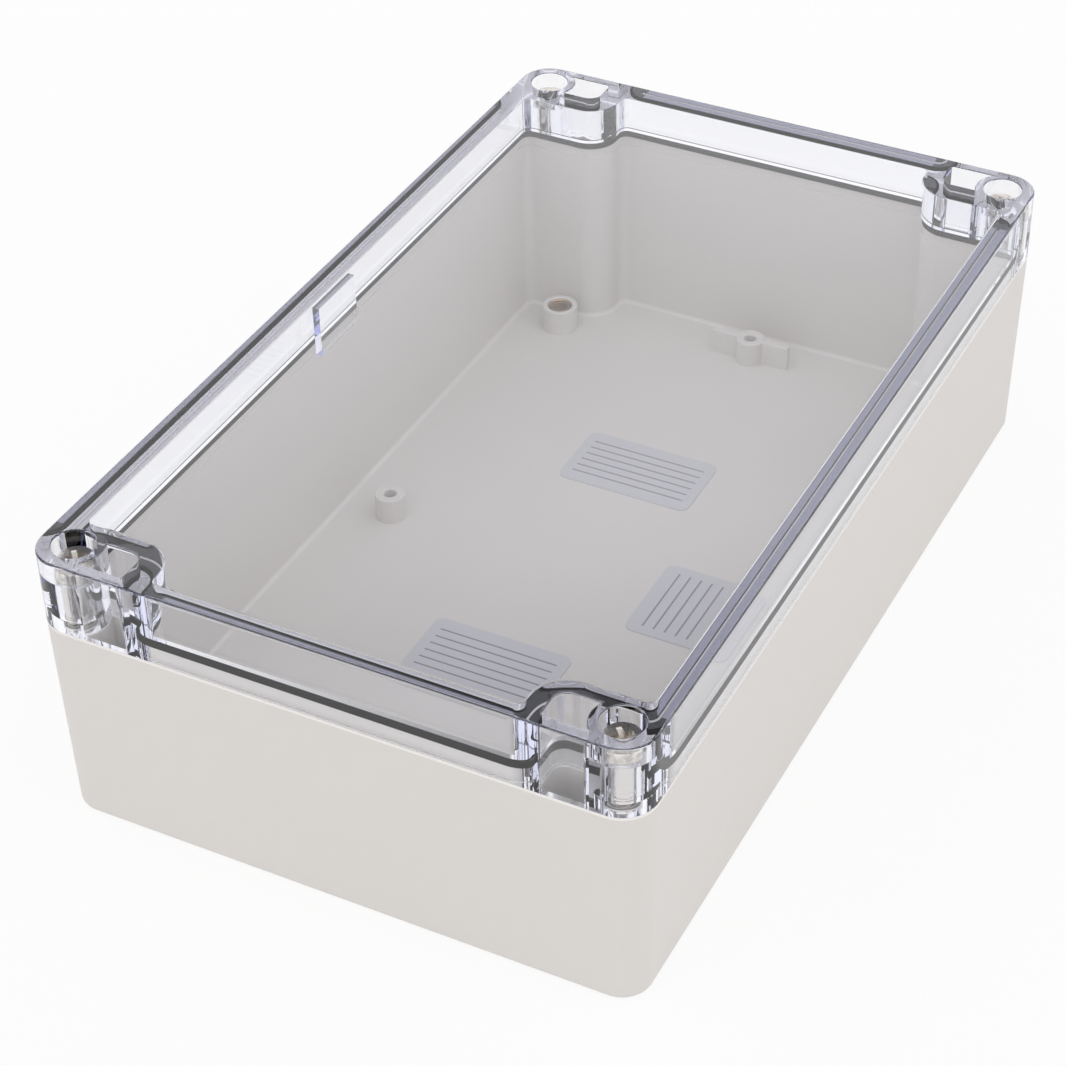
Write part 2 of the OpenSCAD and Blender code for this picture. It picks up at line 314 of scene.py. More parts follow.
def pocket_outline(settings, corner, grow=0.0):
    """The open shaft beside a lid screw, grown outwards a little for a rounded edge."""
    shape = settings.outline
    left = HALF_W - shape.pocket_width
    low = HALF_L - shape.pocket_length
    high = HALF_L - shape.bar + grow
    bend = shape.pocket_bend
    column = shape.column_radius - grow
    low_turn = 180 + math.degrees(math.asin((SCREW_Y - low + grow) / column))
    high_turn = 180 - math.degrees(math.asin((high - SCREW_Y) / column))
    small = shape.pocket_corner
    points = arc((left + small, high - grow - small), small + grow, 90, 180, SMALL_STEPS)
    points += arc((left + bend, low + bend), bend + grow, 180, 270, WIDE_STEPS)
    points += arc((SCREW_X, SCREW_Y), column, low_turn, high_turn, WIDE_STEPS)
    return [(corner[0] * x, corner[1] * y) for x, y in points]


def ribbed_outline(centre, radius, reach, thickness, steps):
    """A round boss with a straight rib to each side."""
    turn = math.degrees(math.asin(thickness / 2 / radius))
    half = thickness / 2
    points = [(reach, -half), (reach, half)]
    points += arc((0, 0), radius, turn, 180 - turn, steps)
    points += [(-reach, half), (-reach, -half)]
    points += arc((0, 0), radius, 180 + turn, 360 - turn, steps)
    return [(centre[0] + x, centre[1] + y) for x, y in points]


# Meshes from rings

class Shell:
    """A closed mesh that is built from rings of points, skins between them and flat caps."""

    def __init__(self):
        self.bm = bmesh.new()

    def ring(self, outline, z):
        """The points of an outline at one height."""
        return [self.bm.verts.new((x, y, z)) for x, y in outline]

    def skin(self, lower, upper, skip=()):
        """Faces between two rings with as many points; skip leaves out stretches."""
        count = len(lower)
        for i in range(count):
            if i not in skip:
                j = (i + 1) % count
                self.bm.faces.new((lower[i], lower[j], upper[j], upper[i]))

    def rise(self, levels):
        """Skins through a list of outlines and heights; returns the first and last ring."""
        rings = [self.ring(outline, z) for outline, z in levels]
        for lower, upper in zip(rings, rings[1:]):
            self.skin(lower, upper)
        return rings[0], rings[-1]

    def cap(self, *rings):
        """A flat face inside the first ring, with the others as holes."""
        edges = []
        for ring in rings:
            for start, end in zip(ring, ring[1:] + ring[:1]):
                edges.append(self.bm.edges.get((start, end)) or self.bm.edges.new((start, end)))
        bmesh.ops.triangle_fill(self.bm, use_beauty=True, use_dissolve=False, edges=edges)

    def solid(self, levels):
        """Skins through a list of outlines and heights, closed by a flat face at each end."""
        for ring in self.rise(levels):
            self.cap(ring)
        return self

    def mesh(self, name):
        """The finished mesh, with its faces outwards and its flats truly flat."""
        bmesh.ops.recalc_face_normals(self.bm, faces=self.bm.faces)
        mesh = bpy.data.meshes.new(name)
        self.bm.to_mesh(mesh)
        self.bm.free()
        set_flat_normals(mesh)
        return mesh


def flat_areas(bm):
    """The area of the flat stretch that each face belongs to."""
    areas = {}
    for first in bm.faces:
        if first in areas:
            continue
        group = [first]
        areas[first] = 0.0
        for face in group:
            for edge in face.edges:
                for other in edge.link_faces:
                    if other not in areas and edge.calc_face_angle(math.pi) < FLAT:
                        areas[other] = 0.0
                        group.append(other)
        total = sum(face.calc_area() for face in group)
        for face in group:
            areas[face] = total
    return areas


def corner_fan(loop):
    """The faces that meet at a corner with no sharp edge between them."""
    fan = [loop.face]
    for face in fan:
        for edge in face.edges:
            if loop.vert in edge.verts and edge.calc_face_angle(math.pi) < SHARP_EDGE:
                fan += [other for other in edge.link_faces if other not in fan]
    return fan


def set_flat_normals(mesh):
    """Shades bends smooth and keeps flats flat: the widest flat at a corner sets its normal."""
    bm = bmesh.new()
    bm.from_mesh(mesh)
    areas = flat_areas(bm)
    normals = []
    for face in bm.faces:
        for loop in face.loops:
            total = Vector()
            for near in corner_fan(loop):
                total += near.normal * areas[near] ** 2
            normals.append(total.normalized())
    bm.free()
    mesh.polygons.foreach_set("use_smooth", [True] * len(mesh.polygons))
    mesh.normals_split_custom_set(normals)


def quarter_turn(radius, steps=SMALL_STEPS):
    """Set-backs of a quarter round: from its first side, which grow, and from its second, which shrink."""
    angles = [math.pi / 2 * step / steps for step in range(steps + 1)]
    return [(radius * (1 - math.cos(angle)), radius * (1 - math.sin(angle))) for angle in angles]


def rounded_top(outline_of, radius, z, steps=SMALL_STEPS):
    """Levels of a rounded top edge: outline_of gives the outline at an inset."""
    return [(outline_of(across), z - down) for across, down in quarter_turn(radius, steps)]


def rounded_foot(outline_of, radius, z, steps=SMALL_STEPS):
    """Levels of a rounded lower edge, from the bottom up."""
    return [(outline_of(across), z + up) for up, across in quarter_turn(radius, steps)]


def new_object(name, data):
    """An object in the scene."""
    made = bpy.data.objects.new(name, data)
    bpy.context.scene.collection.objects.link(made)
    return made


def applied_mesh(carrier):
    """The plain mesh of an object with its modifiers applied; the object itself goes."""
    bpy.context.view_layer.update()
    evaluated = carrier.evaluated_get(bpy.context.evaluated_depsgraph_get())
    mesh = bpy.data.meshes.new_from_object(evaluated)
    carrier.modifiers.clear()
    bpy.data.objects.remove(carrier)
    return mesh


def add_piece(name, mesh, body, nodes=(), material=None):
    """A finished piece that rides on a body and stands for the nodes named, if any."""
    if material:
        mesh.materials.clear()
        mesh.materials.append(material)
    piece = new_object(name, mesh)
    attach(piece, body)
    if nodes:
        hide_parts(*nodes)


# Node trees

def arithmetic(operation, swapped=False):
    """A method that adds a Math node; swapped is for the reflected form of an operator."""
    def method(self, other=0.0):
        first, second = (other, self) if swapped else (self, other)
        return self.graph.add("ShaderNodeMath", {0: first, 1: second}, operation=operation)
    return method


class Signal:
    """An output socket; arithmetic on it adds Math nodes."""

    def __init__(self, graph, socket):
        self.graph = graph
        self.socket = socket

    def out(self, name):
        """Another output of the same node."""
        return Signal(self.graph, self.socket.node.outputs[name])

    __add__ = arithmetic("ADD")
    __radd__ = arithmetic("ADD", swapped=True)
    __sub__ = arithmetic("SUBTRACT")
    __rsub__ = arithmetic("SUBTRACT", swapped=True)
    __mul__ = arithmetic("MULTIPLY")
    __rmul__ = arithmetic("MULTIPLY", swapped=True)
    __truediv__ = arithmetic("DIVIDE")
    __rtruediv__ = arithmetic("DIVIDE", swapped=True)
    __or__ = arithmetic("MAXIMUM")
    __and__ = arithmetic("MINIMUM")
    __lt__ = arithmetic("LESS_THAN")
    __gt__ = arithmetic("GREATER_THAN")
    __abs__ = arithmetic("ABSOLUTE")
    fraction = arithmetic("FRACT")


class Graph:
    """A node tree that one method fills, and the material or world that it belongs to."""

    def __init__(self, tree, owner=None):
        self.tree = tree
        self.owner = owner
        tree.nodes.clear()

    def add(self, kind, values=None, **settings):
        """Adds a node: its settings first, then the values or links of its sockets."""
        node = self.tree.nodes.new(kind)
        for key, value in settings.items():
            setattr(node, key, value)
        for key, value in (values or {}).items():
            if isinstance(value, Signal):
                self.tree.links.new(value.socket, node.inputs[key])
            else:
                node.inputs[key].default_value = value
        return Signal(self, node.outputs[0]) if node.outputs else node

    def place(self):
        """Object coordinates."""
        return self.add("ShaderNodeTexCoord").out("Object")

    def split(self, vector):
        """The three parts of a vector."""
        parts = self.add("ShaderNodeSeparateXYZ", {0: vector})
        return [parts.out(axis) for axis in "XYZ"]

    def noise(self, place, feature, detail=3.0):
        """Even noise whose marks are about as wide as feature, in metres."""
        return self.add("ShaderNodeTexNoise", {"Vector": place, "Scale": 1 / feature, "Detail": detail})

    def blend(self, factor, first, second):
        """A mix of two colours."""
        return self.add("ShaderNodeMix", {"Factor": factor, 6: first, 7: second}, data_type="RGBA").out(2)

    def bump(self, height, depth, strength):
        """Normals from a height between 0 and 1, depth metres deep."""
        return self.add("ShaderNodeBump", {"Height": height, "Distance": depth, "Strength": strength})

    def join(self, *parts):
        """Several geometries as one."""
        joined = self.add("GeometryNodeJoinGeometry")
        for part in parts:
            self.tree.links.new(part.socket, joined.socket.node.inputs[0])
        return joined

    def sweep(self, line, section):
        """A section swept along lines, kept upright and closed at open ends."""
        level = self.add("GeometryNodeSetCurveNormal", {"Curve": line}, mode="Z_UP")
        return self.add("GeometryNodeCurveToMesh", {
            "Curve": level, "Profile Curve": section, "Fill Caps": True})

    def moved(self, geometry, offset):
        """A geometry moved by a vector."""
        return self.add("GeometryNodeTransform", {"Geometry": geometry, "Translation": offset})

    def surface(self, **values):
        """The shader, with sockets named by words joined by underscores."""
        named = {key.replace("_", " "): value for key, value in values.items()}
        return self.add("ShaderNodeBsdfPrincipled", named)

    def mix(self, factor, first, second):
        """A mix of two shaders."""
        return self.add("ShaderNodeMixShader", {0: factor, 1: first, 2: second})

    def finish(self, shader, **others):
        """Ends a material and returns it."""
        self.add("ShaderNodeOutputMaterial", {"Surface": shader, **others})
        return self.owner


def new_material(name):
    """The graph of a fresh material."""
    material = bpy.data.materials.new(name)
    material.use_nodes = True
    return Graph(material.node_tree, material)


def opaque(colour, share=1.0):
    """A colour with its alpha, made lighter or darker by share."""
    return (*[min(1.0, share * level) for level in colour], 1.0)


def painted_highlight_edges(graph, place, settings):
    """Where a highlight is painted lighter on the base: its outer rim and, less so, the crease round its
    floor.
    """
    tub = settings.tub
    x, y, height = graph.split(place)
    across = abs(x)
    along = abs(y)
    radius = settings.outline.corner_radius
    past_x = (across - (HALF_W - radius)) | 0.0
    past_y = (along - (HALF_L - radius)) | 0.0
    reach = past_x * past_x + past_y * past_y
    # A highlight painted on the rounding of the outer rim
    rim = (reach > (radius - 2 * tub.rim) ** 2) * (height > PARTING - tub.rim) * (height < PARTING + SLIP)
    # A fainter highlight painted along the fillet round the floor
    crease = (reach < (radius - tub.tongue_inset) ** 2) * (height > tub.floor + SLIP)
    crease = crease * (height < tub.floor + tub.floor_fillet)
    # The feet of the bosses lie at the same height and stay plain
    boss = tub.insert_boss / 2 + SLIP
    ribbed = 1.2 * tub.rib_reach
    for boss_x, boss_y, half_x in ((BOSS_X, BOSS_Y, boss), (BOSS_X, 0.0, boss), (0.0, END_BOSS_Y, ribbed)):
        off_x = (across - boss_x) / half_x
        off_y = (along - boss_y) / boss
        crease = crease * (off_x * off_x + off_y * off_y > 1.0)
    crease_share = 0.42
    return rim + crease_share * crease


def tub_material(settings):
    """Light grey moulding: a fine satin grain, faint flow marks, a painted highlight on its rim and floor
    crease, and a worn gloss.
    """
    tub = settings.tub
    graph = new_material("satin_grey_moulding")
    place = graph.place()
    flow = graph.noise(place, feature=0.045)
    grain = graph.noise(place, feature=0.0004, detail=2.0)
    wear = graph.noise(place, feature=0.004, detail=4.0)
    rubbed = painted_highlight_edges(graph, place, settings)
    colour = graph.blend(flow, opaque(tub.colour), opaque(tub.shade))
    # Lightens the colour where the highlight is painted, more at the rim than at the crease
    colour = graph.blend(rubbed * (0.8 + 0.4 * wear), colour, opaque(tub.rubbed))
    gloss = 0.40 + 0.10 * wear + 0.08 * grain - 0.15 * rubbed
    return graph.finish(graph.surface(Base_Color=colour, Roughness=gloss, IOR=1.52,
                                      Normal=graph.bump(grain, depth=0.000012, strength=0.5)))


def lid_material(settings):
    """Clear polished plastic with a violet cast in its thick parts, open to lamp light."""
    graph = new_material("clear_polished_plastic")
    place = graph.place()
    haze = graph.noise(place, feature=0.012)
    ripple = graph.noise(place, feature=0.03, detail=1.0)
    clear = graph.surface(Base_Color=WHITE, Roughness=0.012 * haze, IOR=1.585, Transmission_Weight=1.0,
                          Normal=graph.bump(ripple, depth=0.00001, strength=0.2))
    light = graph.add("ShaderNodeLightPath")
    lamp_way = light.out("Is Shadow Ray") | light.out("Is Diffuse Ray")
    through = graph.add("ShaderNodeBsdfTransparent", {"Color": (0.98, 0.985, 0.99, 1.0)})
    cast = graph.add("ShaderNodeVolumeAbsorption",
                     {"Color": opaque(settings.lid.tint), "Density": settings.lid.density})
    return graph.finish(graph.mix(lamp_way, clear, through), Volume=cast)


def seal_material(settings):
    """Dark soft rubber with a dusty, fine-celled skin."""
    dark = settings.seal.colour
    graph = new_material("dark_seal_rubber")
    place = graph.place()
    cells = graph.noise(place, feature=0.0005)
    dust = graph.noise(place, feature=0.008)
    colour = graph.blend(dust, opaque(dark), opaque(dark, 1.5))
    return graph.finish(graph.surface(Base_Color=colour, Roughness=0.7 + 0.25 * cells, Specular_IOR_Level=0.1,
                                      Normal=graph.bump(cells, depth=0.00006, strength=0.6)))


def film_material(settings):
    """Pale adhesive film with small bubbles."""
    pale = settings.seal.film_colour
    graph = new_material("adhesive_film")
    bubbles = graph.noise(graph.place(), feature=0.0008)
    colour = graph.blend(bubbles, opaque(pale), opaque(pale, 0.8))
    return graph.finish(graph.surface(Base_Color=colour, Roughness=0.5 + 0.2 * bubbles))


def screw_material(settings):
    """Bright nickel with turned streaks; dark spots painted on the head stand in for the dark parts of its
    mottled reflections.
    """
    screw = settings.screw
    graph = new_material("bright_nickel")
    place = graph.place()
    streaks = graph.noise(place, feature=0.0003)
    spots = graph.noise(place, feature=0.0009)
    height = graph.split(place)[2]
    on_head = height > HEAD_TOP - screw.head_height
    # The spots start at this level of the noise and fade towards their edges
    start = 0.42
    slope = 4.0
    soft_spots = ((spots - start) * slope | 0.0) & 1.0
    # Dark reflection spots painted on the head only
    tarnish = on_head * soft_spots * (0.2 + 0.5 * streaks)
    colour = graph.blend(tarnish, opaque(screw.colour), opaque(screw.tarnish))
    gloss = 0.10 + 0.14 * streaks + 0.2 * tarnish
    return graph.finish(graph.surface(Base_Color=colour, Metallic=1.0, Roughness=gloss,
                                      Normal=graph.bump(spots + streaks, depth=0.00010, strength=0.7)))


def insert_material(name, bright):
    """Turned metal with tool marks and dull spots."""
    graph = new_material(name)
    place = graph.place()
    marks = graph.noise(place, feature=0.0003)
    spots = graph.noise(place, feature=0.002)
    colour = graph.blend(spots, opaque(bright), opaque(bright, 0.6))
    return graph.finish(graph.surface(Base_Color=colour, Metallic=1.0, Roughness=0.25 + 0.2 * marks,
                                      Normal=graph.bump(marks, depth=0.00001, strength=0.4)))


def sticker_material(settings, node):
    """Pale film with a few ruled lines along its longer side, for one sticker."""
    sticker = settings.sticker
    graph = new_material("ruled_film_" + node)
    low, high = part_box(node)
    centre = tuple((low + high) / 2)
    span = high - low
    along, across = (0, 1) if span.x > span.y else (1, 0)
    place = graph.place()
    axes = graph.split(graph.add("ShaderNodeVectorMath", {0: place, 1: centre}, operation="SUBTRACT"))
    room = span[across] - 2 * sticker.margin
    pitch = room / sticker.rules
    row = axes[across] / pitch
    rule = abs(row.fraction() - 0.5) < sticker.line / pitch / 2
    inside = (abs(axes[across]) < room / 2) & (abs(axes[along]) < span[along] / 2 - sticker.margin)
    fibre = graph.noise(place, feature=0.0006)
    ink = (rule & inside) * (0.65 + 0.25 * fibre)
    colour = graph.blend(ink, opaque(sticker.colour), opaque(sticker.ink))
    return graph.finish(graph.surface(Base_Color=colour, Roughness=0.38 + 0.12 * fibre,
                                      Normal=graph.bump(fibre, depth=0.00001, strength=0.3)))


# Pieces

def board_boss(shell, tub, outline_of, centre, radius, depth):
    """A boss on the floor with a hole; returns the ring where it leaves the floor."""
    foot, top = shell.rise([(outline_of(0.0), tub.floor)] + rounded_top(outline_of, tub.edge, BOSS_TOP))
    hole = circle(centre, radius, BORE_STEPS)
    mouth, end = shell.rise([(circle(centre, radius + tub.edge, BORE_STEPS), BOSS_TOP),
                             (hole, BOSS_TOP - tub.edge), (hole, BOSS_TOP - depth)])
    shell.cap(top, mouth)
    shell.cap(end)
    return foot


def tub_bosses(shell, settings):
    """All board bosses; returns their rings on the floor."""
    tub = settings.tub
    insert_hole = (BOARD_INSERT_HIGH.x - BOARD_INSERT_LOW.x) / 2 + tub.insert_play
    insert_depth = BOSS_TOP - BOARD_INSERT_LOW.z
    pilot = MOUNTS["side_bosses"]["hole_r_mm"] / MM_IN_M
    feet = []
    for sx, sy in CORNERS:
        centre = (sx * BOSS_X, sy * BOSS_Y)
        outline = lambda inset: circle(centre, tub.insert_boss / 2 - inset, BOSS_STEPS)
        feet.append(board_boss(shell, tub, outline, centre, insert_hole, insert_depth))
    for side in (-1, 1):
        centre = (side * BOSS_X, 0)
        outline = lambda inset: circle(centre, tub.plain_boss / 2 - inset, BOSS_STEPS)
        feet.append(board_boss(shell, tub, outline, centre, pilot, tub.pilot_depth))
    for end in (-1, 1):
        centre = (0, end * END_BOSS_Y)
        outline = lambda inset: ribbed_outline(
            centre, tub.plain_boss / 2 - inset, tub.rib_reach - inset, tub.rib - 2 * inset, BOSS_STEPS // 2)
        feet.append(board_boss(shell, tub, outline, centre, pilot, tub.pilot_depth))
    return feet


def tub_mesh(settings):
    """The grey base: drafted walls, sealing tongue, corner shafts, screw columns and board bosses."""
    tub = settings.tub
    shell = Shell()
    box = lambda inset: box_outline(settings, inset)
    sealed = lambda inset: sealed_outline(settings, inset)

    outside = rounded_foot(lambda inset: box(tub.draft + inset), tub.foot_radius, 0.0)
    foot, rim = shell.rise(outside + rounded_top(box, tub.rim, PARTING))

    tongue_in = tub.wall - tub.tongue_step
    step_z = PARTING + tub.tongue_step_height
    inside = [(sealed(tub.tongue_inset), PARTING)]
    inside += rounded_top(lambda inset: sealed(tub.tongue_inset + inset), tub.edge, TONGUE_TOP, FEW_STEPS)
    inside += reversed(rounded_top(lambda inset: sealed(tongue_in - inset), tub.edge, TONGUE_TOP, FEW_STEPS))
    inside += [(sealed(tongue_in), step_z), (sealed(tub.wall), step_z)]
    inside += [(sealed(tub.wall + across), tub.floor + up) for across, up in quarter_turn(tub.floor_fillet)]
    tongue, floor = shell.rise(inside)
    shell.cap(floor, *tub_bosses(shell, settings))

    insert_hole = (LID_INSERT_HIGH.x - LID_INSERT_LOW.x) / 2 + tub.insert_play
    relief_hole = settings.screw.thread / 2 + tub.relief_play
    mount = MOUNTS["wall_holes"]
    mount_x = mount["spacing_x_mm"] / MM_IN_M / 2
    mount_y = mount["spacing_y_mm"] / MM_IN_M / 2
    rim_holes = []
    foot_holes = []
    for corner in CORNERS:
        mouth, end = shell.rise([(pocket_outline(settings, corner, tub.edge), PARTING),
                                 (pocket_outline(settings, corner), PARTING - tub.edge),
                                 (pocket_outline(settings, corner), tub.pocket_floor)])
        place = (corner[0] * mount_x, corner[1] * mount_y)
        bore = circle(place, mount["hole_r_mm"] / MM_IN_M, BORE_STEPS)
        bottom, bore_top = shell.rise([(bore, 0.0), (bore, tub.pocket_floor)])
        shell.cap(end, bore_top)
        rim_holes.append(mouth)
        foot_holes.append(bottom)
        screw = (corner[0] * SCREW_X, corner[1] * SCREW_Y)
        wide = circle(screw, insert_hole, BOSS_STEPS)
        narrow = circle(screw, relief_hole, BOSS_STEPS)
        mouth, end = shell.rise([(wide, PARTING), (wide, LID_INSERT_LOW.z), (narrow, LID_INSERT_LOW.z),
                                 (narrow, SCREW_LOW.z - tub.relief)])
        shell.cap(end)
        rim_holes.append(mouth)
    shell.cap(foot, *foot_holes)
    shell.cap(rim, tongue, *rim_holes)
    return shell.mesh("tub")


def lid_tab(shell, settings, roof, top, first):
    """The locating tab on the wall at -X, between the first point of two rings and the next."""
    low = PARTING + settings.lid.tab_rise
    high = top[first].co.z
    wall_x = roof[first].co.x
    tab_x = wall_x + settings.lid.tab
    ends = []
    for place in (first, first + 1):
        y = roof[place].co.y
        added = [shell.bm.verts.new((x, y, z)) for x, z in ((tab_x, high), (tab_x, low), (wall_x, low))]
        ends.append([top[place], *added, roof[place]])
    near, far = ends
    for i in range(len(near) - 1):
        shell.bm.faces.new((near[i], far[i], far[i + 1], near[i + 1]))
    shell.bm.faces.new(near)
    shell.bm.faces.new(reversed(far))


def lid_mesh(settings):
    """The clear lid: plate, walls round the pockets, screw columns, rebate and locating tab."""
    lid = settings.lid
    shell = Shell()
    box = lambda inset: box_outline(settings, inset)
    sealed = lambda inset: sealed_outline(settings, inset)
    bottom = PARTING + SLIP
    edge = lid.small_edge
    plate_z = TOP - lid.plate

    foot, rim = shell.rise(rounded_foot(box, lid.foot_edge, bottom) + rounded_top(box, lid.edge, TOP))

    lead_in = rounded_foot(lambda inset: sealed(lid.lip - inset), lid.foot_edge, bottom)
    rebate, roof_out = shell.rise(lead_in + [(sealed(lid.lip), SEAL_TOP)])
    roof = shell.ring(sealed(lid.wall), SEAL_TOP)
    tab_top = shell.ring(sealed(lid.wall), plate_z - lid.tab_gap)
    shell.skin(roof_out, roof)
    # The third quarter of the outline ends at the middle of the long wall at -X
    tab_stretch = 3 * len(roof) // 4 - 1
    shell.skin(roof, tab_top, skip=[tab_stretch])
    lid_tab(shell, settings, roof, tab_top, tab_stretch)
    fillet = [(sealed(lid.wall + across), plate_z - down) for across, down in quarter_turn(lid.fillet)]
    fillet_low, ceiling = shell.rise(fillet)
    shell.skin(tab_top, fillet_low)
    shell.cap(ceiling)

    seat = HEAD_TOP - settings.screw.head_height
    wide_radius = (SCREW_HIGH.x - SCREW_LOW.x) / 2 + lid.head_play
    narrow_radius = settings.screw.thread / 2 + lid.shank_play
    top_holes = []
    foot_holes = []
    for corner in CORNERS:
        shaft = lambda grow: pocket_outline(settings, corner, grow)
        low, high = shell.rise([(shaft(0.0), bottom)] + rounded_top(shaft, edge, TOP, FEW_STEPS))
        top_holes.append(high)
        foot_holes.append(low)
        screw = (corner[0] * SCREW_X, corner[1] * SCREW_Y)
        narrow = circle(screw, narrow_radius, LID_HOLE_STEPS)
        recess = circle(screw, narrow_radius + lid.foot_recess, LID_HOLE_STEPS)
        recess_top = bottom + lid.foot_depth
        wide = lambda grow: circle(screw, wide_radius + grow, LID_HOLE_STEPS)
        low, high = shell.rise([(recess, bottom), (recess, recess_top), (narrow, recess_top), (narrow, seat),
                                (wide(0.0), seat)] + rounded_top(wide, edge, TOP, FEW_STEPS))
        top_holes.append(high)
        foot_holes.append(low)
    shell.cap(rim, *top_holes)
    shell.cap(foot, rebate, *foot_holes)
    return shell.mesh("clear_cover")


def node_group(name, inputs):
    """An empty geometry tree with named inputs; returns the tree and its graph."""
    tree = bpy.data.node_groups.new(name, "GeometryNodeTree")
    tree.interface.new_socket("Geometry", in_out="INPUT", socket_type="NodeSocketGeometry")
    for label, kind in inputs.items():
        tree.interface.new_socket(label, in_out="INPUT", socket_type=kind)
    tree.interface.new_socket("Geometry", in_out="OUTPUT", socket_type="NodeSocketGeometry")
    return tree, Graph(tree)


def close_group(graph, geometry, material):
    """Ends a geometry tree: plain geometry with its material."""
    real = graph.add("GeometryNodeRealizeInstances", {"Geometry": geometry})
    painted = graph.add("GeometryNodeSetMaterial", {"Geometry": real, "Material": material})
    graph.add("NodeGroupOutput", {"Geometry": painted})


def grown_mesh(name, seed, tree, values):
    """The plain mesh that a geometry tree makes from a seed mesh."""
    carrier = new_object(name + "_seed", seed)
    modifier = carrier.modifiers.new("Grow", "NODES")
    modifier.node_group = tree
    for item in tree.interface.items_tree:
        if item.in_out == "INPUT" and item.name in values:
            modifier[item.identifier] = values[item.name]
    mesh = applied_mesh(carrier)
    mesh.name = name
    return mesh


# Corners of the gasket's section, in order round it
SEAL_CORNERS = ("Outer Foot", "Inner Foot", "Inner Top", "Outer Top")


def seal_tree(material):
    """A four-cornered section with rounded edges, swept along lines."""
    tree, graph = node_group("seal_sweep", {
        **dict.fromkeys(SEAL_CORNERS, "NodeSocketVector"), "Rounding": "NodeSocketFloat"})
    given = graph.add("NodeGroupInput")
    line = graph.add("GeometryNodeMeshToCurve", {"Mesh": given})
    points = {f"Point {n}": given.out(corner) for n, corner in enumerate(SEAL_CORNERS, 1)}
    section = graph.add("GeometryNodeCurvePrimitiveQuadrilateral", points, mode="POINTS")
    soft = graph.add("GeometryNodeFilletCurve", {
        "Curve": section, "Radius": given.out("Rounding"), "Count": FEW_STEPS}, mode="POLY")
    swept = graph.sweep(line, soft)
    # The sweep mirrors the section, so its faces come out turned inwards
    outward = graph.add("GeometryNodeFlipFaces", {"Mesh": swept})
    close_group(graph, outward, material)
    return tree


def seal_strip(settings, name, material, insets, low, tops, rounding, shortest=0.0):
    """A strip on the sealed outline between two insets, with a height for each edge of its top.

    It leaves out stretches of the outline that are shorter than shortest."""
    seed = bpy.data.meshes.new(name + "_line")
    points = [Vector((x, y, low)) for x, y in sealed_outline(settings, sum(insets) / 2)]
    stretches = [(i, (i + 1) % len(points)) for i in range(len(points))]
    kept = [(i, j) for i, j in stretches if (points[i] - points[j]).length >= shortest]
    seed.from_pydata(points, kept, [])
    half = (insets[1] - insets[0]) / 2
    # A section's own Y points down along this line
    corners = ((-half, 0.0, 0.0), (half, 0.0, 0.0), (half, low - tops[1], 0.0), (-half, low - tops[0], 0.0))
    values = {**dict(zip(SEAL_CORNERS, corners)), "Rounding": rounding}
    return grown_mesh(name, seed, seal_tree(material), values)


def cut_mesh(name, mesh, cutters):
    """The mesh with the cutters taken away."""
    carrier = new_object(name, mesh)
    helpers = [new_object(name + "_cutter", cutter) for cutter in cutters]
    for helper in helpers:
        modifier = carrier.modifiers.new("Cut", "BOOLEAN")
        modifier.operation = "DIFFERENCE"
        modifier.solver = "EXACT"
        modifier.object = helper
    result = applied_mesh(carrier)
    for helper in helpers:
        bpy.data.objects.remove(helper)
    # The cutters cross in the same planes, which leaves doubled points and faces without area
    shape = bmesh.new()
    shape.from_mesh(result)
    bmesh.ops.remove_doubles(shape, verts=shape.verts, dist=MERGE)
    bmesh.ops.dissolve_degenerate(shape, edges=shape.edges, dist=MERGE)
    shape.to_mesh(result)
    shape.free()
    set_flat_normals(result)
    return result


def recess_cutter(settings, turn):
    """One tapered arm of the cross recess, with its turn in degrees."""
    screw = settings.screw
    depth = screw.recess_depth
    # Shares of the slot's length at its floor, at the head's top and at the cutter's end, past the head
    shares = (0.45, 1.0, 1.1)
    # The width tapers less than the length
    width_taper = 0.4
    cos = math.cos(math.radians(turn))
    sin = math.sin(math.radians(turn))
    levels = []
    for share, z in zip(shares, (HEAD_TOP - depth, HEAD_TOP, HEAD_TOP + depth)):
        x = screw.recess_length / 2 * share
        y = screw.recess_width / 2 * (1 - width_taper + width_taper * share)
        slot = ((x, -y), (x, y), (-x, y), (-x, -y))
        levels.append(([(px * cos - py * sin, px * sin + py * cos) for px, py in slot], z))
    return Shell().solid(levels).mesh("recess_arm")


def screw_seed(settings):
    """A cheese-head screw without its thread, at the origin of X and Y."""
    screw = settings.screw
    head = (SCREW_HIGH.x - SCREW_LOW.x) / 2
    seat = HEAD_TOP - screw.head_height + SLIP
    tip = SCREW_LOW.z
    root = screw.root / 2
    shank = screw.thread / 2
    point = 0.6 * root
    point_height = 0.5 * root
    run_out = tip + screw.thread_length
    profile = [(point, tip), (root, tip + point_height), (root, run_out),
               (shank, run_out + screw.pitch), (shank, seat),
               (head - screw.head_edge / 2, seat), (head, seat + screw.head_edge / 2)]
    profile += [(head - across, HEAD_TOP - down) for across, down in quarter_turn(screw.head_edge)]
    levels = [(circle((0, 0), radius, TURNED_STEPS), z) for radius, z in profile]
    blank = Shell().solid(levels).mesh("screw_blank")
    return cut_mesh("screw_blank", blank, [recess_cutter(settings, turn) for turn in RECESS_TURNS])


THREAD_INPUTS = {
    **dict.fromkeys(("Turns", "Thread Radius", "Thread Depth", "Thread Length"), "NodeSocketFloat"),
    "Thread Start": "NodeSocketVector"}


def thread_values(radius, depth, pitch, low, high):
    """The thread's inputs for a helix between two heights."""
    length = high - low - 2 * depth
    return {"Turns": length / pitch, "Thread Radius": radius, "Thread Depth": depth, "Thread Length": length,
            "Thread Start": (0.0, 0.0, low + depth)}


